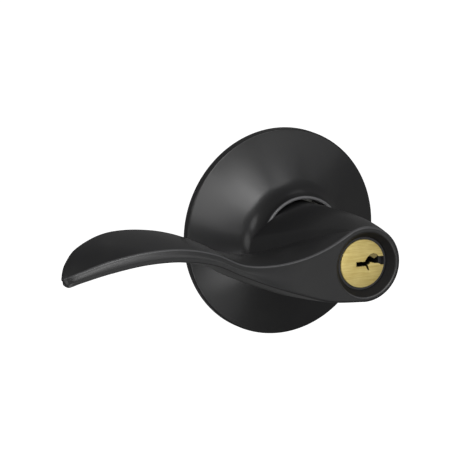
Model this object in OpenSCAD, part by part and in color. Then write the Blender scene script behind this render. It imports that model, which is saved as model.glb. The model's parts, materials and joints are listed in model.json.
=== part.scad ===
// Outside half of a keyed lever handle lockset.
// Bench frame used by every module: x to the right, y up, z out of the door along the spindle axis,
// with z = 0 at the door's face. upright() then turns it so that the outside faces -Y and up is +Z.

/* [Rose] */
// Outer radius of the rose
rose_r = 32.6; // [31:0.1:36]
// Height of the rose's rim above the door
rim_h = 2.7; // [2:0.1:3]
// Height of the rose's collar above the door
collar_h = 17.9; // [17:0.1:18]
// Outer radius of the collar's lip
collar_r = 13.9; // [13.6:0.1:14.4]

/* [Lever] */
// Reach of the lever from the spindle axis to its tip
lever_reach = 95.6; // [90:0.5:110]
// Projection of the hub's front face from the door
hub_z = 59.1; // [58.8:0.1:60]
// Radius of the hub at its front face
hub_r = 11.8; // [11.6:0.1:12.2]
// Radius of the lever's shank where it meets the rose
shank_r = 12.1; // [12:0.1:12.5]
// Turn of the lever each way from level
lever_turn = 55; // [40:1:55]

/* [Door fixing] */
// Distance between the two through-bolts
bolt_pitch = 38.1; // [36:0.1:40]
// Radius of the tapped holes for the through-bolts
bolt_hole_r = 2.1; // [1.7:0.1:2.2]
// Reach of the posts into the door
post_depth = 16; // [10:1:22]
// Radius of the boss that centres the trim in the door's cross bore
bore_boss_r = 26.6; // [25.5:0.1:26.8]
// Reach of the spindle into the door
spindle_depth = 40; // [32:1:60]

/* [Key cylinder] */
// Radius of the plug
plug_r = 6.35; // [6.3:0.01:6.36]
// Distance between neighbouring pins
pin_pitch = 3.97; // [3.9:0.01:4]
// Radius of the pins
pin_r = 1.35; // [1.2:0.01:1.36]

/* [Hidden] */
$fn = 96;
eps = 0.01;

black = "#26272a";
steel = "#a9abad";
zinc = "#c9c6b8";
brass = "#c9a94e";

// Fits, all radial
run = 0.05;     // running clearance
slip = 0.1;     // clearance of parts that are assembled by hand
push = 0.02;    // parts pushed together for good
through = 40;   // length of a cut that goes right through

// Rose and what it covers
rose_wall = 1.3;
rim_inner_r = rose_r - 1.9;
plate_r = rim_inner_r - 1.4;
plate_t = 2;
snap_t = 1.2;                   // height of the three snaps that hold the rose on the plate
snap_half = 6;                  // half the angle of a snap
boss_z = [-5, eps];
boss_wall = 2;
post_r = 3.5;
post_flange = [5, 1];           // radius and height
collar_wall = 1;
collar_foot = [18.4, 10];       // radius and height where the cone turns up into the collar
bushing_r = 12;
bushing_z = [-3, 2];
bushing_flange = [12.8, 1.2];   // radius and height
cover_r = 16.6;
cover_z = [8.2, 9];             // roof of the spring cover
cover_wall = 0.6;
ear_r = 2.6;
ear_t = 1;
screw_ring_r = 19.8;            // the spring cover's screws stand on this circle
SCREW_ANGLES = [90, 210, 330];
screw_r = 1.25;
screw_head = [2.3, 1.4];        // radius and height

// Sleeve that carries the lever
sleeve_r = 10;
sleeve_bore_r = 8.9;
sleeve_z = [-4, 28];
sleeve_floor_t = 1.5;
cam_z = [3.6, 6.6];
cam_hub_r = 12.4;
tab_z = 4.8;                    // top of the cam's tabs and of the plate's stops
ring_z = [7.2, 8];
ring_groove_r = 9.6;
spring_r = 14.2;
spring_wire_r = 0.5;
leg_angle = 9;                  // half the angle between the return spring's legs
tab_half = leg_angle - 2.2;     // half the angle of the tabs that the legs straddle
tab_split_r = 14.3;             // the cam's tab is inside this radius and the plate's lug outside it
stop_half = 8;                  // half the angle that the cam's stop arm takes up
stop_width = 10;
stop_r = [13.2, 15.9];          // the plate's stops

// Lever catch
catch_z = 22;
catch_r = 1.5;
catch_in = 8.1;                 // the catch's inner and outer ends, from the axis
catch_out = 12.6;
leaf_t = 0.4;
leaf_half_w = 2.5;

// Key cylinder
pins = 5;
first_pin_z = 51;
plug_z = [28.7, 56.4];
plug_head_t = 1.8;
plug_head_r = 7.45;
plug_back_t = 1.2;              // solid end of the plug behind the keyway
housing_r = 8.2;
housing_z = [29, 56];
tower_x = 12.6;                 // reach of the pin tower from the axis
tower_half = 3;
tower_z = [31.4, 53.8];
cover_strip_t = 0.5;
strip_half = tower_half - 0.7;
driver_len = 3;
driver_x = plug_r + 0.08;
key_pin_top = 6.2;              // outer end of every key pin, inside the plug's round surface
key_pin_stop = 0.6;             // bottom of the plug's pin chambers
KEY_PIN_LEN = [4.1, 4.9, 4.5, 5.2, 4.3];
cam_disc_z = [26.7, 28.7];
cam_disc_r = 7.6;
cam_screw_y = 4.2;
cam_screw_r = 0.85;
tail_half = [2.6, 0.8];
spindle_r = 4.75;
spindle_bore_r = 3.6;
spindle_slot = 4.8;             // the spindle is a bent strip, open along its underside
recess_r = 10.2;                // mouth of the recess round the plug
recess_h = 2.7;
function pin_z(i) = first_pin_z - i*pin_pitch;

// Keyway seen from the front: a narrow slot near the centre that widens, between wards, to the right
KEYWAY = [
    [-2.1, -0.9], [-2.1, 0.6], [0.8, 0.5], [1.2, 1.1], [1.9, 2.0], [2.8, 2.1], [4.3, 1.1], [5.6, 1.8],
    [8.0, 1.6], [8.0, -1.0], [6.6, -1.0], [5.6, -0.4], [4.3, -0.3], [2.8, 0.2], [2.4, -0.4], [1.8, -0.6],
    [2.4, -2.3], [2.0, -2.4], [1.1, -0.9]
];

// The lever is a loft between two outlines: a front one on the hub's face and the arm's front edges, and
// a rear one on the shank's end and the arm's rear edges. Each list runs from the hub to the tip.
circle_end = 114;               // where the hub's circle runs into the arm's top edge
circle_end_low = 93;            // where it runs into the arm's bottom edge
true_cone_end = 90;             // up to here the shank is a plain cone
hub_shift = [-0.2, 0.2, 0];     // centre of the hub's face, from the axis
FRONT_TOP = [
    [-5, 11, 59.1], [-13, 6.8, 59], [-22, 4, 58.9], [-32, 2.8, 58.2], [-41, 3.8, 57.2],
    [-50, 7.8, 56.1], [-60, 9.9, 54.6], [-71, 9.7, 52.4], [-82, 7.5, 49.8], [-90.5, 4.5, 47.4],
    [-94, 3.1, 46.2], [-95.5, 2.6, 44.7]
];
FRONT_LOW = [
    [-0.8, -11.6, 59.1], [-12, -10.6, 59], [-22, -7.5, 58.9], [-32, -3.9, 58.2], [-41, -0.1, 57.2],
    [-50, 4, 56.1], [-60, 5.8, 54.6], [-71, 5.5, 52.4], [-82, 3.4, 49.8], [-90.5, 0.9, 47.4],
    [-94.1, -0.3, 46.1], [-95.6, -0.1, 44.2]
];
REAR_TOP = [
    [-20.3, -2.5, 20], [-24.5, -1.3, 23], [-29, 0, 26], [-35, 2, 28], [-41.5, 4.3, 29.5],
    [-48.5, 8.3, 30], [-58, 11.2, 30], [-69, 12.7, 31], [-79, 12.7, 34.2], [-89, 10.2, 38.6],
    [-93.8, 6.7, 41.7], [-95.5, 3.9, 43.2]
];
REAR_LOW = [
    [-20.3, -8, 20], [-24.5, -6.8, 22.8], [-29, -5.2, 25.8], [-35, -2.6, 28], [-41.5, 0.6, 29.3],
    [-48.5, 4.7, 29.8], [-58, 8, 30], [-69, 9.6, 31], [-79, 9.6, 34], [-88.5, 7.2, 38.4],
    [-93.6, 3.7, 41.5], [-95.6, 1.6, 43.2]
];
// Rear outline of the boss, from the shank's circle to the arm's corner. The first point only sets the
// direction in which the curve leaves the circle.
BOSS_TOP = [
    [5, 11, 18.3], [0, 12.1, 18.3], [-5, 11.1, 18.3], [-10.3, 8.9, 18.4], [-14.2, 7.3, 18.6],
    [-17.6, 5.2, 19], [-19.6, 2.2, 19.5], [-20.3, -2.5, 20]
];
BOSS_LOW = [
    [5, -11, 18.3], [0, -12.1, 18.3], [-5.5, -11.8, 18.3], [-11, -11.2, 18.5], [-16.5, -10.2, 19],
    [-20.3, -8, 20]
];
shank_z = 18.3;
edge_front = 0.7;               // rounding of the front edges
edge_rear = 1.2;                // rounding of the arm's rear edges
edge_shank = 0.4;               // rounding of the shank's end
crown = 0.5;                    // rise of the arm's top between its edges
belly = 2;                      // swell of the arm's underside
spigot_r = shank_r - 0.2;       // the shank's end runs on as a sleeve inside the rose's collar
spigot_z = 13.3;
swell = [0.4, 1.3];             // barrel of the shank: its rise, and how much more of it near the hub

module upright() rotate([90, 0, 0]) children();

module tube(r_out, r_in, z) {
    translate([0, 0, z[0]])
        difference() {
            cylinder(r = r_out, h = z[1] - z[0]);
            translate([0, 0, -1])
                cylinder(r = r_in, h = z[1] - z[0] + 2);
        }
}

// Part of a ring, centred on an angle
module sector(r_out, r_in, z, mid, half) {
    translate([0, 0, z[0]])
        rotate([0, 0, mid - half])
            rotate_extrude(angle = 2*half)
                translate([r_in, 0])
                    square([r_out - r_in, z[1] - z[0]]);
}

// Smooth curve through a list of points, u counts the points
function curve(p, u) =
    let (i = min(floor(u), len(p) - 2), t = u - i,
         a = p[max(i - 1, 0)], b = p[i], c = p[i + 1], d = p[min(i + 2, len(p) - 1)])
    0.5*(2*b + (c - a)*t + (2*a - 5*b + 4*c - d)*t*t + (3*b - a - 3*c + d)*t*t*t);
function bezier(a, b, c, t) = a*(1 - t)*(1 - t) + 2*b*t*(1 - t) + c*t*t;
function toward(a, b, d) = a + (b - a)*min(d/max(norm(b - a), eps), 0.45);
function on_circle(r, angle, z) = [r*cos(angle), r*sin(angle), z];
drawn_reach = 95.6;
arm_start = -13;
// Stretches the arm's points, drawn for one reach, to the lever's own
function arm_point(p) =
    let (past = min(p[0] - arm_start, 0))
    [p[0] + past*(lever_reach - drawn_reach)/(drawn_reach + arm_start), p[1], p[2]];

// Edges of the lever. s runs from 0 at the hub's right to 1 at the boss's corner and 2 at the tip.
function front(s, list, side, end) =
    s <= 1 ? hub_shift + on_circle(hub_r, side*end*s, hub_z)
    : arm_point(curve(list, (s - 1)*(len(list) - 1)));
function rear(s, list, boss, side, end) =
    let (split = true_cone_end/end)
    s <= split ? on_circle(shank_r, side*end*s, shank_z)
    : s <= 1 ? curve(boss, 1 + (s - split)/(1 - split)*(len(boss) - 2))
    : arm_point(curve(list, (s - 1)*(len(list) - 1)));
function corner(before, at, after, r, steps) =
    [for (k = [0:steps]) bezier(toward(at, before, r), at, toward(at, after, r), k/steps)];
function side_line(a, b, bow, barrel, steps, rear_first) =
    [for (k = [1:steps - 1])
        let (t = k/steps, ahead = rear_first ? t : 1 - t)
        a + (b - a)*t + (bow + barrel*(swell[0] + swell[1]*ahead))*4*t*(1 - t)];

// One closed section of the lever
function lever_ring(s, steps) =
    let (on_arm = min(max((s - 1)*6, 0), 1)*min((2 - s)*8, 1),
         ft = front(s, FRONT_TOP, 1, circle_end),
         fl = front(s, FRONT_LOW, -1, circle_end_low),
         rt = rear(s, REAR_TOP, BOSS_TOP, 1, circle_end),
         rl = rear(s, REAR_LOW, BOSS_LOW, -1, circle_end_low),
         back = edge_shank + (edge_rear - edge_shank)*on_arm,
         brow = edge_front*min(0.4 + (2 - s)*5, 1),
         up = [0, on_arm, 0],
         on_hub = 1 - min(max((s - 1)*6, 0), 1),
         out_top = on_hub*on_circle(1, circle_end*min(s, 1), 0),
         out_low = on_hub*on_circle(1, -circle_end_low*min(s, 1), 0))
    concat(corner(fl, ft, rt, brow, steps),
           side_line(ft, rt, up*crown, out_top, steps + 2, false),
           corner(ft, rt, rl, back, steps), corner(rt, rl, fl, back, steps),
           side_line(rl, fl, -up*belly, out_low, steps + 2, true),
           corner(rl, fl, ft, brow, steps));

function middle(p, i = 0, sum = [0, 0, 0]) = i == len(p) ? sum/i : middle(p, i + 1, sum + p[i]);

// Solid through a list of closed rings with the same number of points
module loft(rings) {
    n = len(rings[0]);
    last = len(rings) - 1;
    walls = [for (i = [0:last - 1], j = [0:n - 1], half = [0, 1])
        let (a = i*n + j, b = i*n + (j + 1) % n, c = b + n, d = a + n)
        half == 0 ? [a, c, b] : [a, d, c]];
    caps = [for (j = [0:n - 1]) each
        [[j, (j + 1) % n, (last + 1)*n], [last*n + (j + 1) % n, last*n + j, (last + 1)*n + 1]]];
    polyhedron(concat([for (r = rings) each r], [middle(rings[0]), middle(rings[last])]),
               concat(walls, caps));
}

// Round wire along a list of points, for springs. Each ring of the wire stands on its own axes.
module wire(points, r, sides) {
    last = len(points) - 1;
    rings = [for (i = [0:last])
        let (t = points[min(i + 1, last)] - points[max(i - 1, 0)], d = t/norm(t),
             side = cross(d, abs(d[2]) > 0.9 ? [1, 0, 0] : [0, 0, 1]), u = side/norm(side), v = cross(d, u))
        [for (k = [0:sides - 1]) points[i] + r*(cos(360*k/sides)*u + sin(360*k/sides)*v)]];
    loft(rings);
}

// ---- parts that stay on the door ----

module rose() {
    lip = collar_wall/2;
    bend = [collar_r + 0.2, 12.3];  // point that draws the cone up into the collar
    edge = 0.5;                     // bevel of the rim
    rim_wall = 0.9;
    flare = [for (t = [0:0.1:1]) bezier(collar_foot, bend, [collar_r, collar_h - lip], t)];
    lip_arc = [for (a = [20:20:160]) [collar_r - lip + lip*cos(a), collar_h - lip + lip*sin(a)]];
    inner = [[collar_r - collar_wall, collar_h - lip], [collar_r - collar_wall, bend[1] + 0.1],
             [collar_foot[0] - rim_wall, collar_foot[1] - rose_wall], [rim_inner_r, rim_h - rim_wall],
             [rim_inner_r, 0]];
    color(black)
        upright()
            rotate_extrude($fn = 180)
                polygon(concat([[rose_r, 0], [rose_r, rim_h - edge], [rose_r - edge, rim_h]],
                               flare, lip_arc, inner));
}

// Children at each through-bolt
module at_bolts()
    for (side = [-1, 1])
        translate([side*bolt_pitch/2, 0, 0])
            children();

// Children at each of the spring cover's screws
module at_screws()
    for (a = SCREW_ANGLES)
        rotate([0, 0, a])
            translate([screw_ring_r, 0, 0])
                children();

module mounting_plate() {
    stop_angle = stop_half + lever_turn + 0.5 + stop_width/2;
    color(zinc)
        upright()
            difference() {
                union() {
                    cylinder(r = plate_r, h = plate_t);
                    for (a = SCREW_ANGLES)
                        sector(rim_inner_r - run, plate_r - 1, [0, snap_t], a, snap_half);
                    tube(bore_boss_r, bore_boss_r - boss_wall, boss_z);
                    // stops for the lever, and the lug that the return spring's legs bear on
                    for (side = [-1, 1])
                        sector(stop_r[1], stop_r[0], [plate_t - eps, tab_z], 270 + side*stop_angle,
                               stop_width/2);
                    sector(stop_r[1], tab_split_r + 0.2, [plate_t - eps, tab_z], 90, tab_half);
                }
                translate([0, 0, -1])
                    cylinder(r = bushing_r + push, h = plate_t + 2);
                at_bolts() {
                    translate([0, 0, -1])
                        cylinder(r = post_r + push, h = plate_t + 2);
                    translate([0, 0, plate_t - post_flange[1]])
                        cylinder(r = post_flange[0] + push, h = 2);
                }
                at_screws()
                    translate([0, 0, -1])
                        cylinder(r = screw_r + run, h = plate_t + 2);
            }
}

module through_bolt_posts() {
    color(steel)
        upright()
            at_bolts()
                difference() {
                    union() {
                        translate([0, 0, -post_depth])
                            cylinder(r = post_r, h = post_depth + plate_t);
                        translate([0, 0, plate_t - post_flange[1]])
                            cylinder(r = post_flange[0], h = post_flange[1]);
                    }
                    translate([0, 0, -post_depth - 1])
                        cylinder(r = bolt_hole_r, h = post_depth + 2);
                }
}

module spindle_bushing() {
    color(brass)
        upright()
            difference() {
                union() {
                    translate([0, 0, bushing_z[0]])
                        cylinder(r = bushing_r, h = bushing_z[1] - bushing_z[0]);
                    translate([0, 0, plate_t])
                        cylinder(r = bushing_flange[0], h = bushing_flange[1]);
                }
                translate([0, 0, bushing_z[0] - 1])
                    cylinder(r = sleeve_r + run, h = 9);
            }
}

module spring_cover() {
    ear_root = 14;
    color(steel)
        upright()
            difference() {
                union() {
                    translate([0, 0, plate_t])
                        cylinder(r = cover_r, h = cover_z[1] - plate_t);
                    at_screws() {
                        translate([0, 0, plate_t])
                            cylinder(r = ear_r, h = ear_t);
                        translate([ear_root - screw_ring_r, -ear_r, plate_t])
                            cube([screw_ring_r - ear_root, 2*ear_r, ear_t]);
                    }
                }
                translate([0, 0, plate_t - 1])
                    cylinder(r = cover_r - cover_wall, h = cover_z[0] - plate_t + 1);
                cylinder(r = sleeve_r + 0.6, h = through);
                at_screws()
                    cylinder(r = screw_r + slip, h = 10);
            }
}

module cover_screws() {
    slot = [2.8, 0.6];
    slot_depth = 0.7;
    head_z = plate_t + ear_t;
    color(steel)
        upright()
            at_screws()
                difference() {
                    union() {
                        translate([0, 0, 0.2])
                            cylinder(r = screw_r, h = head_z);
                        translate([0, 0, head_z])
                            cylinder(r = screw_head[0], h = screw_head[1]);
                    }
                    for (turn = [0, 90])
                        rotate([0, 0, turn])
                            translate([-slot[0]/2, -slot[1]/2, head_z + screw_head[1] - slot_depth])
                                cube([slot[0], slot[1], 1]);
                }
}

// Torsion spring that brings the lever back to level: its two legs straddle the cam's tab and the lug
module return_spring() {
    low = 5.4;
    high = 7.5;
    leg_z = 3.7;
    outer_leg_r = spring_r + 1.1;
    turns = 2 - 2*leg_angle/360;
    steps = 44;
    first = 90 + leg_angle;
    coil = [for (i = [0:steps]) on_circle(spring_r, first + 360*turns*i/steps, low + (high - low)*i/steps)];
    color(steel)
        upright()
            wire(concat([on_circle(spring_r, first, leg_z), on_circle(spring_r, first, low - 0.5)],
                        [for (i = [1:steps - 1]) coil[i]],
                        [on_circle(outer_leg_r, 90 - leg_angle, high - 0.9),
                         on_circle(outer_leg_r, 90 - leg_angle, leg_z)]),
                 spring_wire_r, 6);
}

// ---- parts that turn with the lever ----

module lever() {
    hub_steps = [for (k = [0:6]) 0.04 + 0.11*k];
    boss_steps = [for (k = [0:6]) 0.77 + 0.23*k/6];
    arm_steps = [for (k = [1:24]) 1 + k/24];
    color(black)
        upright()
            difference() {
                union() {
                    loft([for (s = concat(hub_steps, boss_steps, arm_steps)) lever_ring(s, 3)]);
                    translate([0, 0, spigot_z])
                        cylinder(r = spigot_r, h = shank_z + 1 - spigot_z);
                }
                translate([0, 0, spigot_z - 1])
                    cylinder(r = sleeve_r + slip, h = sleeve_z[1] + 0.5 - spigot_z + 1);
                translate([0, 0, sleeve_z[1]])
                    cylinder(r = housing_r + slip, h = through);
                translate([-tower_x - slip, -tower_half - slip, spigot_z - 1])
                    cube([tower_x, 2*(tower_half + slip), tower_z[1] + slip - spigot_z + 1]);
                translate([0, 0, hub_z - recess_h])
                    cylinder(r1 = housing_r + slip, r2 = recess_r, h = recess_h + eps);
                translate([0, 0, catch_z])
                    rotate([90, 0, 0])
                        cylinder(r = catch_r + 2*slip, h = through);
            }
}

module drive_sleeve() {
    color(steel)
        upright()
            difference() {
                union() {
                    tube(sleeve_r, sleeve_bore_r, sleeve_z);
                    tube(sleeve_r - eps, spindle_r + run, [sleeve_z[0], sleeve_z[0] + sleeve_floor_t]);
                }
                tube(sleeve_r + 1, ring_groove_r, ring_z);
                translate([0, 0, catch_z])
                    rotate([90, 0, 0])
                        cylinder(r = catch_r + run, h = through);
            }
}

module return_cam() {
    color(zinc)
        upright() {
            difference() {
                union() {
                    translate([0, 0, cam_z[0]])
                        cylinder(r = cam_hub_r, h = cam_z[1] - cam_z[0]);
                    sector(tab_split_r - 0.2, cam_hub_r - 1, [cam_z[0], tab_z], 90, tab_half);
                    sector(stop_r[1] - 0.3, cam_hub_r - 1, [cam_z[0], tab_z], 270, stop_half);
                }
                cylinder(r = sleeve_r + push, h = through);
            }
        }
}

// Split washer whose three waves press the cam and the retaining ring apart
module wave_washer() {
    wave = 0.12;
    half_t = 0.1;
    split = 3;              // half the angle of the gap
    steps = 60;
    r = [sleeve_r + 0.2, 12.2];
    mid = (cam_z[1] + ring_z[0])/2;
    color(steel)
        upright()
            loft([for (k = [0:steps])
                let (angle = 90 + split + (360 - 2*split)*k/steps, z = mid + wave*sin(3*angle))
                [on_circle(r[0], angle, z - half_t), on_circle(r[0], angle, z + half_t),
                 on_circle(r[1], angle, z + half_t), on_circle(r[1], angle, z - half_t)]]);
}

module sleeve_retaining_ring() {
    gap = 3.2;
    color(steel)
        upright()
            difference() {
                tube(11.8, ring_groove_r + push, ring_z);
                translate([-gap/2, 0, 0])
                    cube([gap, 20, 20]);
            }
}

module spindle() {
    flange_z = [sleeve_z[0] + sleeve_floor_t, sleeve_z[0] + sleeve_floor_t + 1.5];
    color(steel)
        upright()
            difference() {
                union() {
                    translate([0, 0, -spindle_depth])
                        cylinder(r = spindle_r, h = spindle_depth + flange_z[1]);
                    translate([0, 0, flange_z[0]])
                        cylinder(r = sleeve_bore_r - push, h = flange_z[1] - flange_z[0]);
                }
                translate([0, 0, -spindle_depth - 1])
                    cylinder(r = spindle_bore_r, h = spindle_depth + 10);
                translate([-spindle_slot/2, -6, -spindle_depth - 1])
                    cube([spindle_slot, 6, spindle_depth + 1 + sleeve_z[0]]);
            }
}

module lever_catch() {
    foot = [2.3, 0.5];      // radius and height
    color(steel)
        upright()
            translate([0, 0, catch_z])
                rotate([90, 0, 0]) {
                    translate([0, 0, catch_in])
                        cylinder(r = catch_r, h = catch_out - catch_in);
                    translate([0, 0, catch_in - slip])
                        cylinder(r = foot[0], h = foot[1]);
                }
}

// Leaf ring inside the sleeve that pushes the catch outwards
module catch_spring() {
    outer_r = (sleeve_bore_r + catch_in - slip)/2;
    gap = [18, 4];
    color(steel)
        upright()
            translate([0, sleeve_bore_r - outer_r, 0])
                difference() {
                    tube(outer_r, outer_r - leaf_t, [catch_z - leaf_half_w, catch_z + leaf_half_w]);
                    translate([-20, -gap[1]/2, 0])
                        cube([gap[0], gap[1], through]);
                }
}

// ---- key cylinder ----

module cylinder_housing() {
    color(brass)
        upright()
            difference() {
                union() {
                    translate([0, 0, housing_z[0]])
                        cylinder(r = housing_r, h = housing_z[1] - housing_z[0]);
                    translate([-tower_x, -tower_half, tower_z[0]])
                        cube([tower_x, 2*tower_half, tower_z[1] - tower_z[0]]);
                }
                translate([0, 0, housing_z[0] - 1])
                    cylinder(r = plug_r + run, h = through);
                translate([0, 0, plug_z[1] - plug_head_t - run])
                    cylinder(r = plug_head_r + slip, h = 10);
                for (i = [0:pins - 1])
                    translate([0, 0, pin_z(i)])
                        rotate([0, -90, 0])
                            cylinder(r = pin_r + run, h = 20);
                translate([-tower_x - 1, -strip_half, tower_z[0] + 1])
                    cube([1 + cover_strip_t, 2*strip_half, through]);
            }
}

module chamber_cover() {
    color(brass)
        upright()
            translate([-tower_x, -strip_half, tower_z[0] + 1])
                cube([cover_strip_t, 2*strip_half, tower_z[1] - tower_z[0] - 1]);
}

module plug() {
    color(brass)
        upright()
            difference() {
                union() {
                    translate([0, 0, plug_z[0]])
                        cylinder(r = plug_r, h = plug_z[1] - plug_z[0]);
                    translate([0, 0, plug_z[1] - plug_head_t])
                        cylinder(r = plug_head_r, h = plug_head_t);
                }
                translate([0, 0, plug_z[0] + plug_back_t])
                    linear_extrude(through)
                        polygon(KEYWAY);
                for (i = [0:pins - 1])
                    translate([-key_pin_stop, 0, pin_z(i)])
                        rotate([0, -90, 0])
                            cylinder(r = pin_r + run, h = 20);
                for (side = [-1, 1])
                    translate([0, side*cam_screw_y, plug_z[0] - 1])
                        cylinder(r = cam_screw_r + run, h = 5);
            }
}

module plug_cam() {
    color(zinc)
        upright()
            difference() {
                translate([0, 0, cam_disc_z[0]])
                    cylinder(r = cam_disc_r, h = cam_disc_z[1] - cam_disc_z[0]);
                translate([-tail_half[0] - slip, -tail_half[1] - slip, 0])
                    cube([2*(tail_half[0] + slip), 2*(tail_half[1] + slip), cam_disc_z[0] + 1]);
                for (side = [-1, 1])
                    translate([0, side*cam_screw_y, 0])
                        cylinder(r = cam_screw_r + run, h = through);
            }
}

module cam_screws() {
    head = [1.6, 0.9];      // radius and height
    slot = [2, 0.5];
    color(steel)
        upright()
            for (side = [-1, 1])
                translate([0, side*cam_screw_y, 0])
                    difference() {
                        union() {
                            translate([0, 0, cam_disc_z[0]])
                                cylinder(r = cam_screw_r, h = 5);
                            translate([0, 0, cam_disc_z[0] - head[1]])
                                cylinder(r = head[0], h = head[1]);
                        }
                        translate([-slot[0]/2, -slot[1]/2, cam_disc_z[0] - head[1] - 0.1])
                            cube([slot[0], slot[1], 0.6]);
                    }
}

module tailpiece() {
    color(steel)
        upright()
            translate([-tail_half[0], -tail_half[1], -spindle_depth - 2])
                cube([2*tail_half[0], 2*tail_half[1], spindle_depth + 2 + cam_disc_z[0] + 1]);
}

module key_pin(i) {
    tip = 0.9;
    color(brass)
        upright()
            translate([-key_pin_top, 0, pin_z(i)])
                rotate([0, 90, 0]) {
                    cylinder(r = pin_r, h = KEY_PIN_LEN[i] - tip);
                    translate([0, 0, KEY_PIN_LEN[i] - tip])
                        cylinder(r1 = pin_r, r2 = 0.4, h = tip);
                }
}

module driver_pin(i) {
    color(brass)
        upright()
            translate([-driver_x, 0, pin_z(i)])
                rotate([0, -90, 0])
                    cylinder(r = pin_r, h = driver_len);
}

module driver_spring(i) {
    wire_r = 0.16;
    coil_r = 0.95;
    turns = 4;
    steps = 40;
    from = driver_x + driver_len + wire_r;
    to = tower_x - cover_strip_t - wire_r;
    color(steel)
        upright()
            wire([for (k = [0:steps])
                    [-from - (to - from)*k/steps,
                     coil_r*cos(360*turns*k/steps),
                     pin_z(i) + coil_r*sin(360*turns*k/steps)]],
                 wire_r, 5);
}

rose();
mounting_plate();
through_bolt_posts();
spindle_bushing();
spring_cover();
cover_screws();
return_spring();
lever();
drive_sleeve();
return_cam();
wave_washer();
sleeve_retaining_ring();
spindle();
lever_catch();
catch_spring();
cylinder_housing();
chamber_cover();
plug();
plug_cam();
cam_screws();
tailpiece();
for (i = [0:pins - 1]) {
    key_pin(i);
    driver_pin(i);
    driver_spring(i);
}
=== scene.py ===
import json
import math

import bmesh
import bpy
import numpy as np
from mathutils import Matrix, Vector

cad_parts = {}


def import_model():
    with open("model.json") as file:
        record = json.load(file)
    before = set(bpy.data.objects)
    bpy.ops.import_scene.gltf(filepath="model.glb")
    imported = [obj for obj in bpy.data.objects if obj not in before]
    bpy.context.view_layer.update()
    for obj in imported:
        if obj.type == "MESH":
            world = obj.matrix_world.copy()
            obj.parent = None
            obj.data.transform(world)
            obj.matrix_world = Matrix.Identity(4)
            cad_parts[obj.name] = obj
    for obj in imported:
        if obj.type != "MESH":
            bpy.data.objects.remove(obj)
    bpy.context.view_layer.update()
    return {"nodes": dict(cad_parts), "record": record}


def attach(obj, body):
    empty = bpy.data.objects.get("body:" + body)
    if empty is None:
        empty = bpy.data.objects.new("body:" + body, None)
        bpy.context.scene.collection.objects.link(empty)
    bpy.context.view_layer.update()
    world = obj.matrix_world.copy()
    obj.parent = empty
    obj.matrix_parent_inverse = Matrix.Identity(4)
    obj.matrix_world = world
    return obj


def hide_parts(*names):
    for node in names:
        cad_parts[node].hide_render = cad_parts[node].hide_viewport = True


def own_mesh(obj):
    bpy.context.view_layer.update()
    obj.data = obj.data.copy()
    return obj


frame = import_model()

# Outside trim of a keyed lever lockset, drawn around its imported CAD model.
# Outlines are in the CAD source's bench frame: millimetres, x right, y up, z out of the door with 0 at
# the door's face. place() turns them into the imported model's metres: X = x, Y = -z, Z = y.

MM = 0.001


def place(points):
    p = np.asarray(points, float).reshape(-1, 3)
    return np.column_stack([p[:, 0], -p[:, 2], p[:, 1]]) * MM


def unit(v):
    return v / max(np.linalg.norm(v), 1e-12)


# ---- mesh helpers ----

def mesh_object(name, points, faces, sharp_deg=35.0):
    """A closed smooth-shaded mesh from bench points; coinciding points are merged."""
    mesh = bpy.data.meshes.new(name)
    mesh.from_pydata(place(points).tolist(), [], faces)
    obj = bpy.data.objects.new(name, mesh)
    bpy.context.scene.collection.objects.link(obj)
    tidy(obj, sharp_deg)
    return obj


def tidy(obj, sharp_deg=35.0, merge=2e-6):
    """Merges points that coincide and shades the piece smooth between its sharp edges."""
    bm = bmesh.new()
    bm.from_mesh(obj.data)
    bmesh.ops.remove_doubles(bm, verts=bm.verts, dist=merge)
    bmesh.ops.dissolve_degenerate(bm, edges=bm.edges, dist=merge)
    bmesh.ops.recalc_face_normals(bm, faces=bm.faces)
    for f in bm.faces:
        f.smooth = True
    bm.to_mesh(obj.data)
    bm.free()
    obj.data.set_sharp_from_angle(angle=math.radians(sharp_deg))


def loft(rings, closed=False, caps=False):
    """Faces of a skin through rings of the same number of points."""
    m, n = len(rings), len(rings[0])
    faces = []
    for i in range(m if closed else m - 1):
        for j in range(n):
            a, b = i * n + j, i * n + (j + 1) % n
            c, d = ((i + 1) % m) * n + (j + 1) % n, ((i + 1) % m) * n + j
            faces.append((a, b, c, d))
    if caps:
        faces.append(tuple(range(n)))
        faces.append(tuple(range((m - 1) * n, m * n)))
    return faces


def lathe(name, profile, segments=256, closed=False, sharp_deg=35.0):
    """Turns a profile of (radius, z) round the spindle's axis. An open profile starts and ends on it."""
    angles = [2 * math.pi * k / segments for k in range(segments)]
    rings = [[(r * math.cos(a), r * math.sin(a), z) for a in angles] for r, z in profile]
    points = [p for ring in rings for p in ring]
    return mesh_object(name, points, loft(rings, closed=closed), sharp_deg)


def rod(name, r, start, along, length, segments=48):
    """A plain cylinder from a start point along a bench direction."""
    start, along = np.array(start, float), unit(np.array(along, float))
    side = unit(np.cross(along, (0.0, 0.0, 1.0) if abs(along[2]) < 0.9 else (1.0, 0.0, 0.0)))
    other = np.cross(along, side)
    angles = [2 * math.pi * k / segments for k in range(segments)]
    ring = np.array([r * (math.cos(a) * side + math.sin(a) * other) for a in angles])
    rings = [start + ring, start + along * length + ring]
    return mesh_object(name, np.concatenate(rings), loft(rings, caps=True))


def block(name, low, high):
    """A box between two opposite corners."""
    (x0, y0, z0), (x1, y1, z1) = low, high
    outline = [(x0, y0), (x1, y0), (x1, y1), (x0, y1)]
    rings = [[(x, y, z) for x, y in outline] for z in (z0, z1)]
    return mesh_object(name, rings[0] + rings[1], loft(rings, caps=True))


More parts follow.
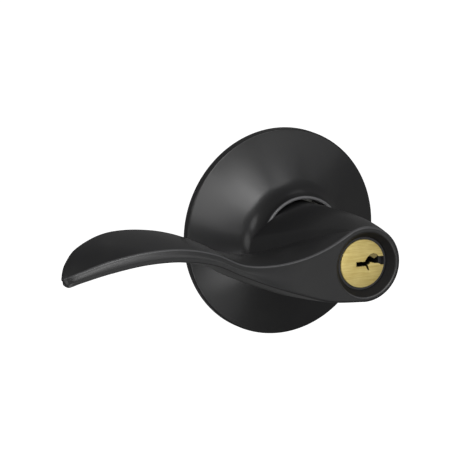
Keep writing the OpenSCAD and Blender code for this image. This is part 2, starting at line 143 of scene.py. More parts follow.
def cut(obj, cutters, added=()):
    """Joins the added volumes to a piece, takes the cutters' out of it, and removes them all."""
    for c in [*added, *cutters]:
        m = obj.modifiers.new("cut", "BOOLEAN")
        m.operation = "UNION" if c in added else "DIFFERENCE"
        m.solver = "EXACT"
        m.object = c
    bpy.context.view_layer.update()
    graph = bpy.context.evaluated_depsgraph_get()
    made = bpy.data.meshes.new_from_object(obj.evaluated_get(graph))
    obj.modifiers.clear()
    obj.data = made
    for c in [*added, *cutters]:
        bpy.data.objects.remove(c)
    tidy(obj)


# ---- curves ----

def clamp(value):
    return min(max(value, 0), 1)


def curve(points, u):
    """Catmull-Rom curve through the points; u counts them."""
    i = min(int(u), len(points) - 2)
    t = u - i
    near = [max(i - 1, 0), i, i + 1, min(i + 2, len(points) - 1)]
    a, b, c, d = [np.array(points[k], float) for k in near]
    squared = (2 * a - 5 * b + 4 * c - d) * t * t
    cubed = (3 * b - a - 3 * c + d) * t ** 3
    return 0.5 * (2 * b + (c - a) * t + squared + cubed)


def bezier(a, b, c, t):
    return a * (1 - t) ** 2 + 2 * b * t * (1 - t) + c * t * t


def bend(corners, steps):
    """Points of a curve from the first corner to the last, drawn towards the middle one."""
    a, b, c = [np.array(p) for p in corners]
    return [tuple(bezier(a, b, c, k / steps)) for k in range(steps + 1)]


def on_circle(r, degrees, z):
    a = math.radians(degrees)
    return np.array([r * math.cos(a), r * math.sin(a), z])


# ---- lever ----
# A loft between a front outline, on the hub's face and the arm's front edges, and a rear outline, on the
# shank's end and the arm's rear edges. s runs from 0 at the hub's right to 1 at the boss's corner and 2
# at the tip. Each list runs from the hub to the tip.

HUB_R, HUB_Z = 11.8, 59.1
HUB_SHIFT = np.array([-0.2, 0.2, 0])    # the hub's face lies this far off the spindle's axis
SHANK_R, SHANK_Z = 12.1, 18.3
SPIGOT_R, SPIGOT_Z = 11.9, 13.3         # the shank's end runs on as a sleeve inside the rose's collar
CIRCLE_END = 114.0                      # degrees of the hub's circle from its right to the arm's top
CIRCLE_END_LOW = 93.0                   # and from its right, downwards, to the arm's underside
TRUE_CONE_END = 90.0                    # the shank's end follows its own circle up to here, in degrees
FRONT_TOP = [
    (-5, 11, 59.1), (-13, 6.8, 59), (-22, 4, 58.9), (-32, 2.8, 58.2), (-41, 3.8, 57.2),
    (-50, 7.8, 56.1), (-60, 9.9, 54.6), (-71, 9.7, 52.4), (-82, 7.5, 49.8), (-90.5, 4.5, 47.4),
    (-94, 3.1, 46.2), (-95.6, 2.3, 45),
]
FRONT_LOW = [
    (-0.8, -11.6, 59.1), (-12, -10.6, 59), (-22, -7.5, 58.9), (-32, -3.9, 58.2), (-41, -0.1, 57.2),
    (-50, 4, 56.1), (-60, 5.8, 54.6), (-71, 5.5, 52.4), (-82, 3.4, 49.8), (-90.5, 0.9, 47.4),
    (-94.2, -0.4, 46), (-95.6, 0.4, 44.6),
]
REAR_TOP = [
    (-20.3, -2.5, 20), (-24.5, -1.3, 23), (-29, 0, 26), (-35, 2, 28), (-41.5, 4.3, 29.5),
    (-48.5, 8.3, 30), (-58, 11.2, 30), (-69, 12.7, 31), (-79, 12.7, 34.2), (-89, 10.2, 38.6),
    (-93.9, 6.6, 41.8), (-95.5, 3.6, 43.5),
]
REAR_LOW = [
    (-20.3, -8, 20), (-24.5, -6.8, 22.8), (-29, -5.2, 25.8), (-35, -2.6, 28), (-41.5, 0.6, 29.3),
    (-48.5, 4.7, 29.8), (-58, 8, 30), (-69, 9.6, 31), (-79, 9.6, 34), (-88.5, 7.2, 38.4),
    (-93.7, 3.7, 41.6), (-95.6, 1.6, 43.5),
]
# The first point of each boss outline only sets the direction in which it leaves the shank's circle.
BOSS_TOP = [
    (5, 11, 18.3), (0, 12.1, 18.3), (-5, 11, 18.3), (-9.6, 8.9, 18.4), (-13.3, 6.7, 18.5),
    (-16.4, 4.6, 18.8), (-18.9, 2.2, 19.3), (-20.3, -2.5, 20),
]
BOSS_LOW = [
    (5, -11, 18.3), (0, -12.1, 18.3), (-5.5, -11.8, 18.3), (-11, -11.2, 18.5), (-16.5, -10.2, 19),
    (-20.3, -8, 20),
]
EDGE_FRONT = 1.0        # rounding of the front edges
EDGE_REAR = 1.2         # rounding of the arm's rear edges
EDGE_SHANK = 0.4        # rounding of the shank's end
FINER = 0.35            # share of the front rounding that is lost along the first half of the arm
TIP_EDGE = 0.4          # share of the front rounding that is left at the tip
WIDTH_SHARE = 0.45      # most of a wall's or a face's width that one rounding may take
CROWN = 0.5             # rise of the arm's top between its edges
BELLY = 2.0             # swell of the arm's underside
SWELL = (0.4, 1.3)      # barrel of the shank: its rise, and how much more of it there is near the hub
FACE_CROWN = 0.25       # rise of the arm's front face
FLAT_FACE_END = 0.6     # up to this s the hub's face and the shank's end lie square to the spindle
BARREL_FADE = (0.85, 0.4)       # the shank's barrel fades from this s, over this length of s

# How fast features come and go along s: each is whole after 1 / rate.
ARM_RATE, TIP_RATE = 6, 8       # the arm's own crown, swell and rear rounding, at the boss and the tip
FACE_CROWN_RATE = 2.5
FINER_RATE, TIP_EDGE_RATE = 2, 5

CORNER_STEPS, WALL_STEPS, FACE_STEPS = 8, 26, 12
HUB_RINGS, ARM_RINGS = 90, 210
CREASE_RINGS = [0.994, 0.998, 1.0, 1.002, 1.004, 1.007]
TIP_DOME, TIP_DOME_RINGS = 0.25, 8      # the tip is closed by a low dome
TIP_SOFTENING = {"start": -94, "end": -95.5, "passes": 16}      # start and end are x

BORE_R, BORE_END = 10.1, 28.5           # bore for the drive sleeve and the catch's leaf
HOUSING_R, RECESS_FLOOR = 8.3, 56.4     # bore for the cylinder housing, up to the recess in the hub
RECESS_MOUTH = [(9.95, 58.75), (10.1, 58.92), (10.3, 59.03), (10.6, HUB_Z + 0.01), (10.6, 62)]
TOWER_LEFT, TOWER_RIGHT, TOWER_HALF, TOWER_Z = -12.7, -1, 3.1, 53.9     # slot for the housing's pin tower
CATCH_R, CATCH_Z = 1.7, 22              # hole for the catch, in the shank's underside
PAST = 1                                # how far a cutter or an overlap runs past a surface


def front(s, points, side, end):
    if s <= 1:
        return HUB_SHIFT + on_circle(HUB_R, side * end * s, HUB_Z)
    return curve(points, (s - 1) * (len(points) - 1))


def rear(s, points, boss, side, end):
    split = TRUE_CONE_END / end
    if s <= split:
        return on_circle(SHANK_R, side * end * s, SHANK_Z)
    if s <= 1:
        return curve(boss, 1 + (s - split) / (1 - split) * (len(boss) - 2))
    return curve(points, (s - 1) * (len(points) - 1))


def front_top(s):
    return front(s, FRONT_TOP, 1, CIRCLE_END)


def front_low(s):
    return front(s, FRONT_LOW, -1, CIRCLE_END_LOW)


def rear_top(s):
    return rear(s, REAR_TOP, BOSS_TOP, 1, CIRCLE_END)


def rear_low(s):
    return rear(s, REAR_LOW, BOSS_LOW, -1, CIRCLE_END_LOW)


def rate(edge, s, step=1e-3):
    """Direction and speed of an edge at s, taken on one side of the crease at s = 1."""
    if s <= 1:
        low, high = s - step, min(s + step, 1)
    else:
        low, high = max(s - step, 1 + 1e-6), min(s + step, 2)
    return (edge(high) - edge(low)) / (high - low)


def face_normal(s, top, low):
    """Outward direction of the front face, or inward of the rear face: about +z."""
    if s < FLAT_FACE_END:
        return np.array([0.0, 0.0, 1.0])
    return unit(np.cross(top(s) - low(s), rate(top, s) + rate(low, s)))


def fillet(s, edge, other, across, radius, sign, steps):
    """Points from an edge's face to its wall, round the edge. The wall runs to the other edge, and the
    face between the edges across. sign is 1 at the face's top and -1 at its underside."""
    at, along = edge(s), unit(rate(edge, s))
    normal = face_normal(s, *across)
    wall = other(s) - at
    down = unit(wall - along * np.dot(wall, along))
    inward = sign * unit(np.cross(normal, along))
    limit = WIDTH_SHARE * np.linalg.norm(wall)
    if s > 1:
        limit = min(limit, WIDTH_SHARE * np.linalg.norm(across[0](s) - across[1](s)))
    r = min(radius, limit)
    return [bezier(at + inward * r, at, at + down * r, k / steps) for k in range(steps + 1)]


def span(a, b, bulge, steps, skewed=None):
    """Points strictly between a and b, bowed out by a bulge, and by a skewed one that grows towards a."""
    points = []
    for k in range(1, steps):
        t = k / steps
        point = a + (b - a) * t + bulge * 4 * t * (1 - t)
        if skewed is not None:
            point = point + skewed * 4 * t * (1 - t) * (SWELL[0] + SWELL[1] * (1 - t))
        points.append(point)
    return points


def barrel(s, side, end):
    """Outward swell of the shank between its end and the hub."""
    fade_start, fade_length = BARREL_FADE
    past_hub = clamp((s - fade_start) / fade_length)
    on_hub = 1 - past_hub ** 2 * (3 - 2 * past_hub)
    return on_hub * on_circle(1, side * end * min(s, 1), 0)


def lever_ring(s):
    """One closed ring of the lever: top wall, rear face, underside and front face, with rounded edges."""
    on_arm = clamp((s - 1) * ARM_RATE) * min((2 - s) * TIP_RATE, 1)
    back = EDGE_SHANK + (EDGE_REAR - EDGE_SHANK) * on_arm
    at_tip = min(TIP_EDGE + (2 - s) * TIP_EDGE_RATE, 1)
    brow = EDGE_FRONT * at_tip * (1 - FINER * clamp((s - 1) * FINER_RATE))
    faces_front, faces_rear = (front_top, front_low), (rear_top, rear_low)
    a = fillet(s, front_top, rear_top, faces_front, brow, 1, CORNER_STEPS)
    b = fillet(s, rear_top, front_top, faces_rear, back, 1, CORNER_STEPS)[::-1]
    c = fillet(s, rear_low, front_low, faces_rear, back, -1, CORNER_STEPS)
    d = fillet(s, front_low, rear_low, faces_front, brow, -1, CORNER_STEPS)[::-1]

    up = np.array([0, on_arm, 0])
    face_crown = FACE_CROWN * clamp((s - 1) * FACE_CROWN_RATE) * on_arm
    top = span(a[-1], b[0], up * CROWN, WALL_STEPS, barrel(s, 1, CIRCLE_END))
    rear_face = span(b[-1], c[0], -face_normal(s, *faces_rear) * face_crown, FACE_STEPS)
    low = span(d[0], c[-1], -up * BELLY, WALL_STEPS, barrel(s, -1, CIRCLE_END_LOW))[::-1]
    front_face = span(d[-1], a[0], face_normal(s, *faces_front) * face_crown, FACE_STEPS)
    return np.array(a + top + b + rear_face + c + low + d + front_face)


def soften(obj, start, end, passes):
    """Smooths a piece to the left of x = start, the more the nearer it is to x = end."""
    bm = bmesh.new()
    bm.from_mesh(obj.data)
    every_axis = {f"use_axis_{axis}": True for axis in "xyz"}
    for k in range(passes):
        limit = (start + (end - start) * k / passes) * MM
        chosen = [v for v in bm.verts if v.co.x < limit]
        bmesh.ops.smooth_vert(bm, verts=chosen, factor=0.5, **every_axis)
    bm.to_mesh(obj.data)
    bm.free()


def lever_body():
    """The lever: hub, shank and arm in one piece, bored for the cylinder and the drive sleeve."""
    hub = [k / HUB_RINGS for k in range(HUB_RINGS)]
    arm = [1 + k / ARM_RINGS for k in range(2, ARM_RINGS)]
    rings = [lever_ring(s) for s in hub + CREASE_RINGS + arm]
    last, before = rings[-1], rings[-3]
    centre = last.mean(0)
    ahead = unit(centre - before.mean(0))
    for k in range(1, TIP_DOME_RINGS + 1):
        turn = math.radians(90 * k / TIP_DOME_RINGS)
        rings.append(centre + (last - centre) * math.cos(turn) + ahead * TIP_DOME * math.sin(turn))
    body = mesh_object("lever_body", np.concatenate(rings), loft(rings))
    soften(body, **TIP_SOFTENING)
    overlap_z = SHANK_Z + PAST
    sleeve = [(0, SPIGOT_Z), (SPIGOT_R, SPIGOT_Z), (SPIGOT_R, overlap_z), (0, overlap_z)]
    start_z = SPIGOT_Z - PAST
    bore = [
        (0, start_z), (BORE_R, start_z), (BORE_R, BORE_END), (HOUSING_R, BORE_END),
        (HOUSING_R, RECESS_FLOOR), *RECESS_MOUTH, (0, RECESS_MOUTH[-1][1]),
    ]
    spigot = lathe("spigot", sleeve, 192)
    tower_end = (TOWER_RIGHT, TOWER_HALF, TOWER_Z)
    cut(body, [
        lathe("bore_cutter", bore, 192),
        block("tower_cutter", (TOWER_LEFT, -TOWER_HALF, start_z), tower_end),
        rod("catch_cutter", CATCH_R, (0, -8, CATCH_Z), (0, -1, 0), 12),
    ], added=[spigot])
    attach(body, "lever")
    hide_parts("lever")
    return body


# ---- rose ----

ROSE_R, RIM_H = 32.6, 2.7
RIM_CHAMFER = 0.15
RIM_SHOULDER = [(ROSE_R, RIM_H - 0.55), (ROSE_R - 0.05, RIM_H), (ROSE_R - 0.75, RIM_H + 0.14)]
COLLAR_R, COLLAR_H, COLLAR_WALL = 13.9, 17.9, 1.0
LIP_R = COLLAR_WALL / 2
COLLAR_FOOT = (18.4, 10.0)
FLARE = [COLLAR_FOOT, (COLLAR_R + 0.2, 12.3), (COLLAR_R, COLLAR_H - LIP_R)]
ROSE_WALL = 1.3
# The inside, from the collar's mouth to the rim's back.
HOLLOW = [
    (COLLAR_R - COLLAR_WALL, COLLAR_H - LIP_R), (COLLAR_R - COLLAR_WALL, 12.4),
    (COLLAR_FOOT[0] - 0.9, COLLAR_FOOT[1] - ROSE_WALL), (ROSE_R - 1.9, RIM_H - 0.9), (ROSE_R - 1.9, 0),
]


def rose_shell():
    """The rose: rim, shallow cone, flare and collar, hollow from behind."""
    rim = [(ROSE_R - RIM_CHAMFER, 0), (ROSE_R, RIM_CHAMFER)] + bend(RIM_SHOULDER, 8)
    flare = bend(FLARE, 28)
    lip_centre = np.array([COLLAR_R - LIP_R, COLLAR_H - LIP_R])
    mouth = [tuple(lip_centre + on_circle(LIP_R, a, 0)[:2]) for a in range(15, 180, 15)]
    shell = lathe("rose_shell", rim + flare + mouth + HOLLOW, 360, closed=True, sharp_deg=40)
    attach(shell, "trim")
    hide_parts("rose")
    return shell


# ---- plug ----

PLUG_R, PLUG_HEAD_R, PLUG_HEAD_T = 6.35, 7.45, 1.8
PLUG_Z = (28.7, 56.4)
PIN_COUNT, PIN_R, PIN_PITCH, FIRST_PIN_Z = 5, 1.4, 3.97, 51.0
PIN_BORE_X = -0.6                       # the chambers run from here, through the plug's left side
SCREW_R, SCREW_Y = 0.9, 4.2
PLUG_EDGE = 0.15
KEYWAY = [
    (-2.1, -0.9), (-2.1, 0.6), (0.8, 0.5), (1.2, 1.1), (1.9, 2.0), (2.8, 2.1), (4.3, 1.1), (5.6, 1.8),
    (8.0, 1.6), (8.0, -1.0), (6.6, -1.0), (5.6, -0.4), (4.3, -0.3), (2.8, 0.2), (2.4, -0.4), (1.8, -0.6),
    (2.4, -2.3), (2.0, -2.4), (1.1, -0.9),
]
KEYWAY_RELIEF = [(1.9, 2.0), (2.8, 2.7), (3.8, 2.9), (5.0, 2.5), (5.6, 1.8), (4.3, 1.1), (2.8, 2.1)]
RELIEF_DEPTH = 0.6
KEYWAY_CHAMFER = 0.08
KEYWAY_END = 1.2                        # the keyway stops this far before the plug's back
MITRE = 0.5                             # keeps a moved outline's sharp corners within twice the distance


def grown(outline, d):
    """The outline moved outwards by d; the outline runs clockwise."""
    made = []
    for i, point in enumerate(outline):
        p, q = np.array(outline[i - 1], float), np.array(point, float)
        r = np.array(outline[(i + 1) % len(outline)], float)
        n1, n2 = [unit(np.array([-side[1], side[0]])) for side in (q - p, r - q)]
        n = unit(n1 + n2)
        made.append(tuple(q + n * d / max(np.dot(n, n1), MITRE)))
    return made


def prism(name, levels):
    """A solid through outlines at rising z."""
    rings = [[(x, y, z) for x, y in outline] for outline, z in levels]
    return mesh_object(name, [p for ring in rings for p in ring], loft(rings, caps=True))


def plug_barrel():
    """The plug: its head, keyway, pin chambers and screw holes."""
    back, face = PLUG_Z
    head_back = face - PLUG_HEAD_T
    nick = PLUG_EDGE * 0.3
    body = lathe("plug_barrel", [
        (0, back), (PLUG_R, back), (PLUG_R, head_back), (PLUG_HEAD_R, head_back),
        (PLUG_HEAD_R, face - PLUG_EDGE), (PLUG_HEAD_R - nick, face - nick),
        (PLUG_HEAD_R - PLUG_EDGE, face), (0, face),
    ], 192)
    wide = grown(KEYWAY, KEYWAY_CHAMFER)
    keyway = prism("keyway_cutter", [
        (KEYWAY, back + KEYWAY_END), (KEYWAY, face - KEYWAY_CHAMFER), (wide, face), (wide, face + PAST),
    ])
    relief = prism("relief_cutter", [(KEYWAY_RELIEF, face - RELIEF_DEPTH), (KEYWAY_RELIEF, face + PAST)])
    pins = [
        rod(f"pin_cutter_{i}", PIN_R, (PIN_BORE_X, 0, FIRST_PIN_Z - i * PIN_PITCH), (-1, 0, 0), 12)
        for i in range(PIN_COUNT)
    ]
    screws = [
        rod(f"screw_cutter_{i}", SCREW_R, (0, y, back - PAST), (0, 0, 1), 5)
        for i, y in enumerate((-SCREW_Y, SCREW_Y))
    ]
    cut(body, [keyway, relief] + pins + screws)
    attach(body, "plug")
    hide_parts("plug")
    return body


# ---- springs that a joint presses ----

# Radii of the wire and the coil, and the ends' distances from the spindle's axis. press is the pin's lift.
DRIVER_SPRING = {"wire": 0.16, "coil": 0.94, "turns": 4, "start": 9.6, "end": 11.93, "press": 1.2}
# The ring's centre lies above the spindle's axis by rise. press is the catch's travel.
LEAF = {"r": 8.22, "thick": 0.4, "width": 5.0, "rise": 0.46, "z": CATCH_Z, "press": 2.6}
LEAF_BEVEL = 0.08
LEAF_START, LEAF_SWEEP = -163, 332      # where the open ring starts and how far it goes round, in degrees


def swept(name, path, profile):
    """A bar along a path of (centre, side, up), with a profile of offsets along side and up."""
    rings = [[centre + a * side + b * up for a, b in profile] for centre, side, up in path]
    return mesh_object(name, np.concatenate(rings), loft(rings, caps=True), sharp_deg=50)


def driver_spring(i, steps=24, sides=10):
    """A coil spring behind a driver pin."""
    size = DRIVER_SPRING
    z = FIRST_PIN_Z - i * PIN_PITCH
    count = size["turns"] * steps
    advance = (size["end"] - size["start"]) / count
    path = []
    for k in range(count + 1):
        a = 2 * math.pi * k / steps
        side = np.array([0, math.cos(a), math.sin(a)])
        round_way = np.array([0, -math.sin(a), math.cos(a)]) * size["coil"] * 2 * math.pi / steps
        centre = np.array([-size["start"] - advance * k, 0, z]) + side * size["coil"]
        path.append((centre, side, unit(np.cross(round_way - np.array([advance, 0, 0]), side))))
    profile = [on_circle(size["wire"], 360 * k / sides, 0)[:2] for k in range(sides)]
    wire = swept(f"driver_coil_{i + 1}", path, profile)
    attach(wire, "lever")
    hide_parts(f"driver_spring_{i + 1}")
    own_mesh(wire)
    return wire


def catch_leaf(steps=72):
    """The open leaf ring that pushes the lever catch out."""
    half_t, half_w = LEAF["thick"] / 2, LEAF["width"] / 2
    thin_t, thin_w = half_t - LEAF_BEVEL, half_w - LEAF_BEVEL
    profile = [
        (thin_t, -half_w), (half_t, -thin_w), (half_t, thin_w), (thin_t, half_w),
        (-thin_t, half_w), (-half_t, thin_w), (-half_t, -thin_w), (-thin_t, -half_w),
    ]
    ring_centre = np.array([0, LEAF["rise"], LEAF["z"]])
    path = []
    for k in range(steps + 1):
        side = on_circle(1, LEAF_START + LEAF_SWEEP * k / steps, 0)
        path.append((ring_centre + side * LEAF["r"], side, np.array([0, 0, 1.0])))
    leaf = swept("catch_leaf", path, profile)
    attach(leaf, "lever")
    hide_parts("catch_spring")
    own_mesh(leaf)
    return leaf


# ---- materials ----

MIX_A, MIX_B, MIX_RESULT = 6, 7, 2      # the colour sockets of a Mix node


class Look:
    """A Principled material with short calls for procedural detail."""

    def __init__(self, name, color, metallic=0.0, roughness=0.5, specular=0.5):
        self.material = bpy.data.materials.new(name)
        self.material.use_nodes = True
        self.nodes = self.material.node_tree.nodes
        self.links = self.material.node_tree.links
        self.shader = self.nodes["Principled BSDF"]
        self.shader.inputs["Base Color"].default_value = (*color, 1)
        self.shader.inputs["Metallic"].default_value = metallic
        self.shader.inputs["Roughness"].default_value = roughness
        self.shader.inputs["Specular IOR Level"].default_value = specular
        self.coordinates = self.nodes.new("ShaderNodeTexCoord")
        self.where = self.coordinates.outputs["Object"]

    def stretched(self, scale):
        """The object's coordinates, scaled along each axis."""
        node = self.nodes.new("ShaderNodeMapping")
        node.inputs["Scale"].default_value = scale
        self.links.new(self.where, node.inputs["Vector"])
        return node.outputs["Vector"]

    def noise(self, scale, detail, vector=None):
        """Noise of about so many grains per metre, finer with more detail."""
        node = self.nodes.new("ShaderNodeTexNoise")
        node.inputs["Scale"].default_value = scale
        node.inputs["Detail"].default_value = detail
        self.links.new(vector or self.where, node.inputs["Vector"])
        return node.outputs["Fac"]

    def ramp(self, value, low, high, start=0.35, end=0.65):
        """Maps a value's middle range to a range of numbers."""
        node = self.nodes.new("ShaderNodeMapRange")
        node.inputs["From Min"].default_value = start
        node.inputs["From Max"].default_value = end
        node.inputs["To Min"].default_value = low
        node.inputs["To Max"].default_value = high
        self.links.new(value, node.inputs["Value"])
        return node.outputs["Result"]

    def blend(self, factor, a, b):
        """A colour between a and b, each of them a colour or a socket."""
        node = self.nodes.new("ShaderNodeMix")
        node.data_type = "RGBA"
        for socket, value in ((node.inputs[MIX_A], a), (node.inputs[MIX_B], b)):
            if isinstance(value, tuple):
                socket.default_value = (*value, 1)
            else:
                self.links.new(value, socket)
        self.links.new(factor, node.inputs["Factor"])
        return node.outputs[MIX_RESULT]

    def add(self, a, b, weight):
        """a plus b times the weight."""
        node = self.nodes.new("ShaderNodeMath")
        node.operation = "MULTIPLY_ADD"
        self.links.new(b, node.inputs[0])
        node.inputs[1].default_value = weight
        self.links.new(a, node.inputs[2])
        return node.outputs[0]

    def along(self, direction, start, end):
        """0 up to the first distance from the origin along a direction, and 1 from the second one on."""
        node = self.nodes.new("ShaderNodeVectorMath")
        node.operation = "DOT_PRODUCT"
        node.inputs[1].default_value = direction
        self.links.new(self.where, node.inputs[0])
        return self.ramp(node.outputs["Value"], 0, 1, start, end)

    def from_axis(self, start, end):
        """0 up to the first distance from the spindle's axis and 1 from the second one on."""
        flat = self.stretched((1, 0, 1))
        node = self.nodes.new("ShaderNodeVectorMath")
        node.operation = "LENGTH"
        self.links.new(flat, node.inputs[0])
        return self.ramp(node.outputs["Value"], 0, 1, start, end)

    def depth(self, start, end):
        """0 in front of the first Y coordinate and 1 behind the second one."""
        return self.along((0, 1, 0), start, end)

    def times(self, a, b):
        """The product of two values."""
        node = self.nodes.new("ShaderNodeMath")
        node.operation = "MULTIPLY"
        self.links.new(a, node.inputs[0])
        self.links.new(b, node.inputs[1])
        return node.outputs[0]

    def edges(self, start, end):
        """1 along the piece's outer edges: pointiness is 0.5 on a flat surface and more on an edge."""
        geometry = self.nodes.new("ShaderNodeNewGeometry")
        return self.ramp(geometry.outputs["Pointiness"], 0, 1, start, end)

    def upper(self, start, end):
        """1 where the piece faces up, as it stands at rest."""
        split = self.nodes.new("ShaderNodeSeparateXYZ")
        self.links.new(self.coordinates.outputs["Normal"], split.inputs[0])
        return self.ramp(split.outputs["Z"], 0, 1, start, end)

    def bump(self, height, depth_mm):
        """Raises the surface by up to the depth where the height is 1."""
        node = self.nodes.new("ShaderNodeBump")
        node.inputs["Strength"].default_value = 1.0
        node.inputs["Distance"].default_value = depth_mm * MM
        self.links.new(height, node.inputs["Height"])
        self.links.new(node.outputs["Normal"], self.shader.inputs["Normal"])

    def set(self, socket, value):
        """Links a value to one of the shader's sockets."""
        self.links.new(value, self.shader.inputs[socket])


COAT, COAT_ROUGHNESS = 0.4, 0.2
BLACK, BLACK_LOW, BLACK_HIGH = (0.018, 0.018, 0.019), (0.016, 0.016, 0.017), (0.021, 0.021, 0.021)
# Painted highlights: lighter colours on the collar's lip and the lever's upper front edges, standing in
# for the light they catch.
PAINTED_LIP_HIGHLIGHT, PAINTED_EDGE_HIGHLIGHT = (0.16, 0.16, 0.165), (0.08, 0.08, 0.083)
HIGHLIGHT_POINTINESS = (0.504, 0.512)
LIP_Y = (-12 * MM, -13 * MM)            # the collar's lip lies in front of this
FRONT_EDGES = (-0.144, -1, 0)           # the lever's front edges lie furthest along this direction,
FRONT_EDGES_AT = (57 * MM, 57.7 * MM)   # past this distance from the origin
FACING_UP = (0.1, 0.5)                  # range of the normal's Z over which the upper edges get the painted highlight
RECESS_RADII = (10.2 * MM, 9.9 * MM)    # the recess round the plug lies inside this
# painted shade: the darker colour of the finish inside the recess round the plug
RECESS_PAINTED_SHADE, RECESS_DULLING = (0.006, 0.006, 0.007), 0.4


def lip_only(look):
    return look.depth(*LIP_Y)


def upper_front_edges(look):
    return look.times(look.upper(*FACING_UP), look.along(FRONT_EDGES, *FRONT_EDGES_AT))


def in_recess(look):
    return look.from_axis(*RECESS_RADII)


def black_finish(name, edge, highlight_mask, recess=None):
    """Satin black under a thin clear coat. edge is the colour of a painted highlight along the edges, and
    the next argument says where that highlight is painted. recess says where painted shade darkens the
    finish and it has no coat."""
    look = Look(name, BLACK, roughness=0.4, specular=0.4)
    look.shader.inputs["Coat Weight"].default_value = COAT
    look.shader.inputs["Coat Roughness"].default_value = COAT_ROUGHNESS
    cloud = look.noise(60, 2)
    grain = look.noise(4200, 2)
    # painted highlight: a lighter colour on the convex edges that the mask picks out
    painted_highlight = look.times(look.edges(*HIGHLIGHT_POINTINESS), highlight_mask(look))
    finish = look.blend(look.ramp(cloud, 0, 1), BLACK_LOW, BLACK_HIGH)
    finish = look.blend(painted_highlight, finish, edge)
    dull = look.ramp(grain, 0.36, 0.44)
    if recess:
        inside = recess(look)
        # painted shade darkens the finish to near black inside the recess
        finish = look.blend(inside, finish, RECESS_PAINTED_SHADE)
        dull = look.add(dull, inside, RECESS_DULLING)
        look.set("Coat Weight", look.ramp(inside, COAT, 0, 0, 1))
    look.set("Base Color", finish)
    look.set("Roughness", dull)
    look.bump(grain, 0.002)
    return look.material


# How stretched the grain is along each axis: even, in lines round the spindle, and in lines along Y.
EVEN, EVEN_FINE, TURNED, DRAWN = (700, 700, 700), (900, 900, 900), (300, 5200, 300), (4200, 260, 4200)
BRASS, BRASS_DARK = (0.72, 0.55, 0.24), (0.55, 0.40, 0.16)
# Colour, colour of the dark lines, roughness, grain, and depth of the lines in millimetres.
METALS = {
    "zinc_plated": ((0.60, 0.60, 0.56), (0.44, 0.44, 0.40), 0.34, EVEN, 0.01),
    "steel": ((0.52, 0.52, 0.53), (0.36, 0.36, 0.37), 0.3, TURNED, 0.008),
    "spring_steel": ((0.34, 0.34, 0.36), (0.2, 0.2, 0.21), 0.34, EVEN_FINE, 0.006),
    "bronze": ((0.50, 0.34, 0.18), (0.34, 0.22, 0.12), 0.42, TURNED, 0.01),
    "brass": (BRASS, BRASS_DARK, 0.3, DRAWN, 0.008),
}


def brushed(name, color, dark, roughness, lines, depth_mm):
    """Bare metal with fine lines and faint stains."""
    look = Look(name, color, metallic=1.0, roughness=roughness)
    streaks = look.noise(1.0, 4, look.stretched(lines))
    stain = look.noise(220, 3)
    stained = look.ramp(look.add(streaks, stain, 0.35), 0, 1, 0.5, 0.85)
    look.set("Base Color", look.blend(stained, dark, color))
    look.set("Roughness", look.ramp(streaks, roughness - 0.07, roughness + 0.1))
    look.bump(streaks, depth_mm)
    return look.material


FACE_LINES = (130, 130, 5200)           # lines from side to side
FACE_LIGHT, FACE_DARK = (0.93, 0.76, 0.30), (0.76, 0.58, 0.18)
FACE_METAL = 0.5
KEYWAY_PAINTED_SHADE = (0.004, 0.003, 0.002)
KEYWAY_Y = (-PLUG_Z[1] * MM, -PLUG_Z[1] * MM + 0.9 * MM)        # the painted shade darkens the keyway from the face to here


def plug_look():
    """Pale brass brushed from side to side on the face, with painted shade darkening it to black inside
    the keyway.
    """
    look = Look("plug_brass", (0.9, 0.74, 0.3), roughness=0.42)
    streaks = look.noise(1.0, 4, look.stretched(FACE_LINES))
    cloud = look.noise(420, 2)
    face = look.blend(look.ramp(look.add(streaks, cloud, 0.3), 0, 1, 0.5, 0.8), FACE_DARK, FACE_LIGHT)
    deep = look.depth(*KEYWAY_Y)
    # painted shade: black inside the keyway, deeper than the face
    look.set("Base Color", look.blend(deep, face, KEYWAY_PAINTED_SHADE))
    look.set("Metallic", look.ramp(deep, FACE_METAL, 0, 0, 1))
    look.set("Roughness", look.ramp(streaks, 0.38, 0.5))
    look.bump(streaks, 0.004)
    return look.material


HOUSING_BLACK = (0.03, 0.03, 0.032)
HOUSING_BLACK_Y = (-50.5 * MM, -50 * MM)        # it is black in front of this


def housing_look():
    """Brass, with the front edge round the plug in the trim's black."""
    look = Look("housing_brass", BRASS, roughness=0.3)
    inside = look.depth(*HOUSING_BLACK_Y)
    streaks = look.noise(1.0, 4, look.stretched(DRAWN))
    metal = look.blend(look.ramp(streaks, 0, 1), BRASS_DARK, BRASS)
    look.set("Base Color", look.blend(inside, HOUSING_BLACK, metal))
    look.set("Metallic", inside)
    look.set("Roughness", look.ramp(streaks, 0.28, 0.4))
    look.bump(streaks, 0.006)
    return look.material


def give(obj, material):
    """Makes a material a piece's only one."""
    obj.data.materials.clear()
    obj.data.materials.append(material)


def paint(shown):
    """Gives each CAD node the material of its slot, and each visible piece its own."""
    looks = {name: brushed(name, *metal) for name, metal in METALS.items()}
    looks["plug_brass"] = plug_look()
    # painted highlight on the collar's lip
    looks["black_trim"] = black_finish("black_trim", PAINTED_LIP_HIGHLIGHT, lip_only)
    # painted highlight on the lever's upper front edges, and painted shade inside its recess round the
    # plug
    looks["black_lever"] = black_finish("black_lever", PAINTED_EDGE_HIGHLIGHT, upper_front_edges, in_recess)
    slot_of = {row["node"]: row["material_slot"] for row in frame["record"]["subparts"]}
    for name, node in frame["nodes"].items():
        give(node, looks.get(slot_of.get(name, ""), looks["black_trim"]))
    give(frame["nodes"]["cylinder_housing"], housing_look())
    for piece, look in shown:
        give(piece, looks[look])


# ---- stage ----

VIEW_TURN, VIEW_RISE = 27.77, 11.87     # the camera stands this far to the left and above, in degrees
VIEW_DISTANCE = 1.857
AIM = (-14.5 * MM, -0.1 * MM)           # the picture's centre from the origin, to the right and up
LENS = 464.6
LIGHT_SIZE, LIGHT_DISTANCE = 0.38, 0.9
LIGHT_CENTRE = Vector((-10 * MM, -20 * MM, 0))
WORLD_STRENGTH = 0.125
FLOOR_HALF, FLOOR_DROP = 30.0, 0.35


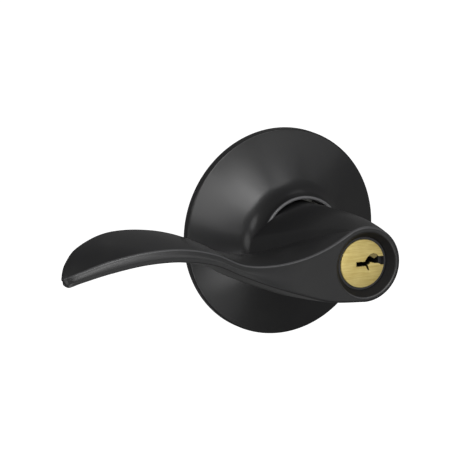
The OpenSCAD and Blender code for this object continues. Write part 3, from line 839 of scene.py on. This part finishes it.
def camera():
    """A long lens to the left of the lever and a little above it."""
    turn, rise = math.radians(VIEW_TURN), math.radians(VIEW_RISE)
    back = Vector((-math.sin(turn) * math.cos(rise), -math.cos(turn) * math.cos(rise), math.sin(rise)))
    right = Vector((math.cos(turn), -math.sin(turn), 0))
    up = back.cross(right)
    data = bpy.data.cameras.new("camera")
    data.lens = LENS
    data.clip_start, data.clip_end = 0.1, 100
    obj = bpy.data.objects.new("camera", data)
    bpy.context.scene.collection.objects.link(obj)
    obj.location = back * VIEW_DISTANCE
    obj.rotation_mode = "QUATERNION"
    obj.rotation_quaternion = (right * AIM[0] + up * AIM[1] - obj.location).to_track_quat("-Z", "Y")
    bpy.context.scene.camera = obj


def softbox(name, azimuth, elevation, power):
    """A round area light aimed at the trim. Azimuth 0 is in front of the door and 90 is to its right."""
    a, e = math.radians(azimuth), math.radians(elevation)
    out = Vector((math.sin(a) * math.cos(e), -math.cos(a) * math.cos(e), math.sin(e)))
    data = bpy.data.lights.new(name, "AREA")
    data.shape = "DISK"
    data.size = LIGHT_SIZE
    data.energy = power
    obj = bpy.data.objects.new(name, data)
    bpy.context.scene.collection.objects.link(obj)
    obj.location = out * LIGHT_DISTANCE + LIGHT_CENTRE
    obj.rotation_mode = "QUATERNION"
    obj.rotation_quaternion = (-out).to_track_quat("-Z", "Y")


def floor():
    """A plain pale floor, which lights nothing and is not reflected."""
    corners = [(-FLOOR_HALF, -FLOOR_HALF), (FLOOR_HALF, -FLOOR_HALF),
               (FLOOR_HALF, FLOOR_HALF), (-FLOOR_HALF, FLOOR_HALF)]
    mesh = bpy.data.meshes.new("floor")
    mesh.from_pydata([(x, y, -FLOOR_DROP) for x, y in corners], [], [(0, 1, 2, 3)])
    obj = bpy.data.objects.new("floor", mesh)
    bpy.context.scene.collection.objects.link(obj)
    look = Look("floor", (0.9, 0.9, 0.9), roughness=0.9, specular=0.1)
    look.shader.inputs["Emission Color"].default_value = (1, 1, 1, 1)
    look.shader.inputs["Emission Strength"].default_value = 1.0
    give(obj, look.material)
    obj.visible_glossy = False
    obj.visible_diffuse = False


def world(strength):
    """Even white light from all round."""
    made = bpy.data.worlds.new("world")
    made.use_nodes = True
    made.node_tree.nodes["Background"].inputs["Color"].default_value = (1, 1, 1, 1)
    made.node_tree.nodes["Background"].inputs["Strength"].default_value = strength
    bpy.context.scene.world = made


# Name, azimuth, elevation and power of each soft light.
LIGHTS = [
    ("key", -20, 28, 1.45),
    ("key_high", -10, 35, 1.0),
    ("front", -14, 8, 0.97),
    ("below_left", -27, -36, 1.17),
    ("left", -75, 20, 0.75),
    ("left_low", -62, -12, 0.62),
    ("front_high", 20, 50, 0.55),
    ("front_low", 0, -10, 0.5),
    ("below", 0, -40, 0.3),
    ("back_right", 140, 50, 0.12),
    ("right", 50, 20, 0.22),
    ("right_high", 30, 35, 0.25),
    ("right_low", 28, -14, 0.2),
]


def studio():
    for light in LIGHTS:
        softbox(*light)
    world(WORLD_STRENGTH)
    floor()
    bpy.context.scene.view_settings.view_transform = "Standard"


camera()
springs = [driver_spring(i) for i in range(PIN_COUNT)] + [catch_leaf()]
paint([(lever_body(), "black_lever"), (rose_shell(), "black_trim"), (plug_barrel(), "plug_brass")]
      + [(spring, "spring_steel") for spring in springs])
studio()
